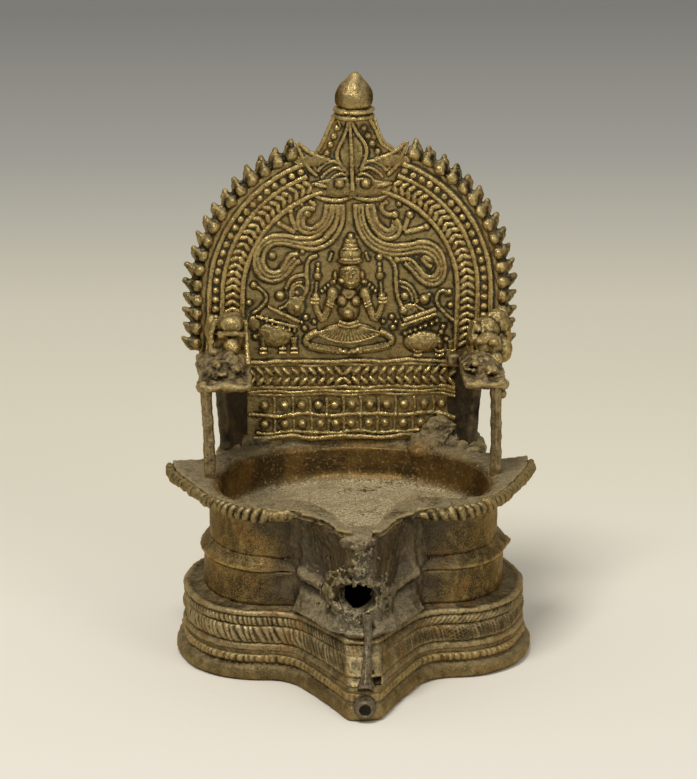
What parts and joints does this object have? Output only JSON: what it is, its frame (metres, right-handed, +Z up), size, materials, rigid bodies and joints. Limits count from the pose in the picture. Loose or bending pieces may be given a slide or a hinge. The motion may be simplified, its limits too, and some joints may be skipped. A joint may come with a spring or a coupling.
{
  "type": "throne oil lamp",
  "caption": "Brass oil lamp: hollow moulded pedestal with a pointed nose, round pan with a leaf rim and spout, and an arched back plate with figures in relief.",
  "frame": {"origin": "middle of the lamp's footprint box, on the ground", "axes": "+Z up, the spout and nose point to -Y, the throne back stands towards +Y, +X is the right-hand side seen from the front"},
  "size_m": [0.1244, 0.1446, 0.1855],
  "materials": {
    "aged_brass": "worn cast brass with dark recesses",
    "dusty_brass": "dull brass under oil dust",
    "sooty_brass": "sooty, pitted brass"
  },
  "bodies": {
    "root": {"arm_lion_left": "aged_brass", "arm_lion_right": "aged_brass", "inner_thread_left": "aged_brass", "chevron_band_left": "aged_brass", "middle_thread_left": "aged_brass", "bead_band_left": "aged_brass", "outer_thread_left": "aged_brass", "flame_border_left": "aged_brass", "inner_thread_right": "aged_brass", "chevron_band_right": "aged_brass", "middle_thread_right": "aged_brass", "bead_band_right": "aged_brass", "outer_thread_right": "aged_brass", "flame_border_right": "aged_brass", "lion_mask": "aged_brass", "stream_left": "aged_brass", "stream_right": "aged_brass", "goddess_figure": "aged_brass", "elephant_left": "aged_brass", "elephant_right": "aged_brass", "seat_leaf_band": "aged_brass", "seat_boss_panel": "aged_brass", "pedestal_foot": "aged_brass", "foot_bead_row": "aged_brass", "pedestal_tier": "aged_brass", "tier_rope_row": "aged_brass", "lower_drum": "aged_brass", "drum_collar": "aged_brass", "oil_pan": "dusty_brass", "spout_beak": "sooty_brass", "leaf_rim": "dusty_brass", "leaf_edge_left": "aged_brass", "leaf_edge_right": "aged_brass", "nose_strut": "sooty_brass", "foot_nozzle": "sooty_brass", "back_plate": "aged_brass", "side_cheek_left": "sooty_brass", "throne_arm_left": "dusty_brass", "arm_post_left": "aged_brass", "side_cheek_right": "sooty_brass", "throne_arm_right": "dusty_brass", "arm_post_right": "aged_brass", "finial_collar": "aged_brass", "finial_bud": "aged_brass"}
  },
  "joints": []
}
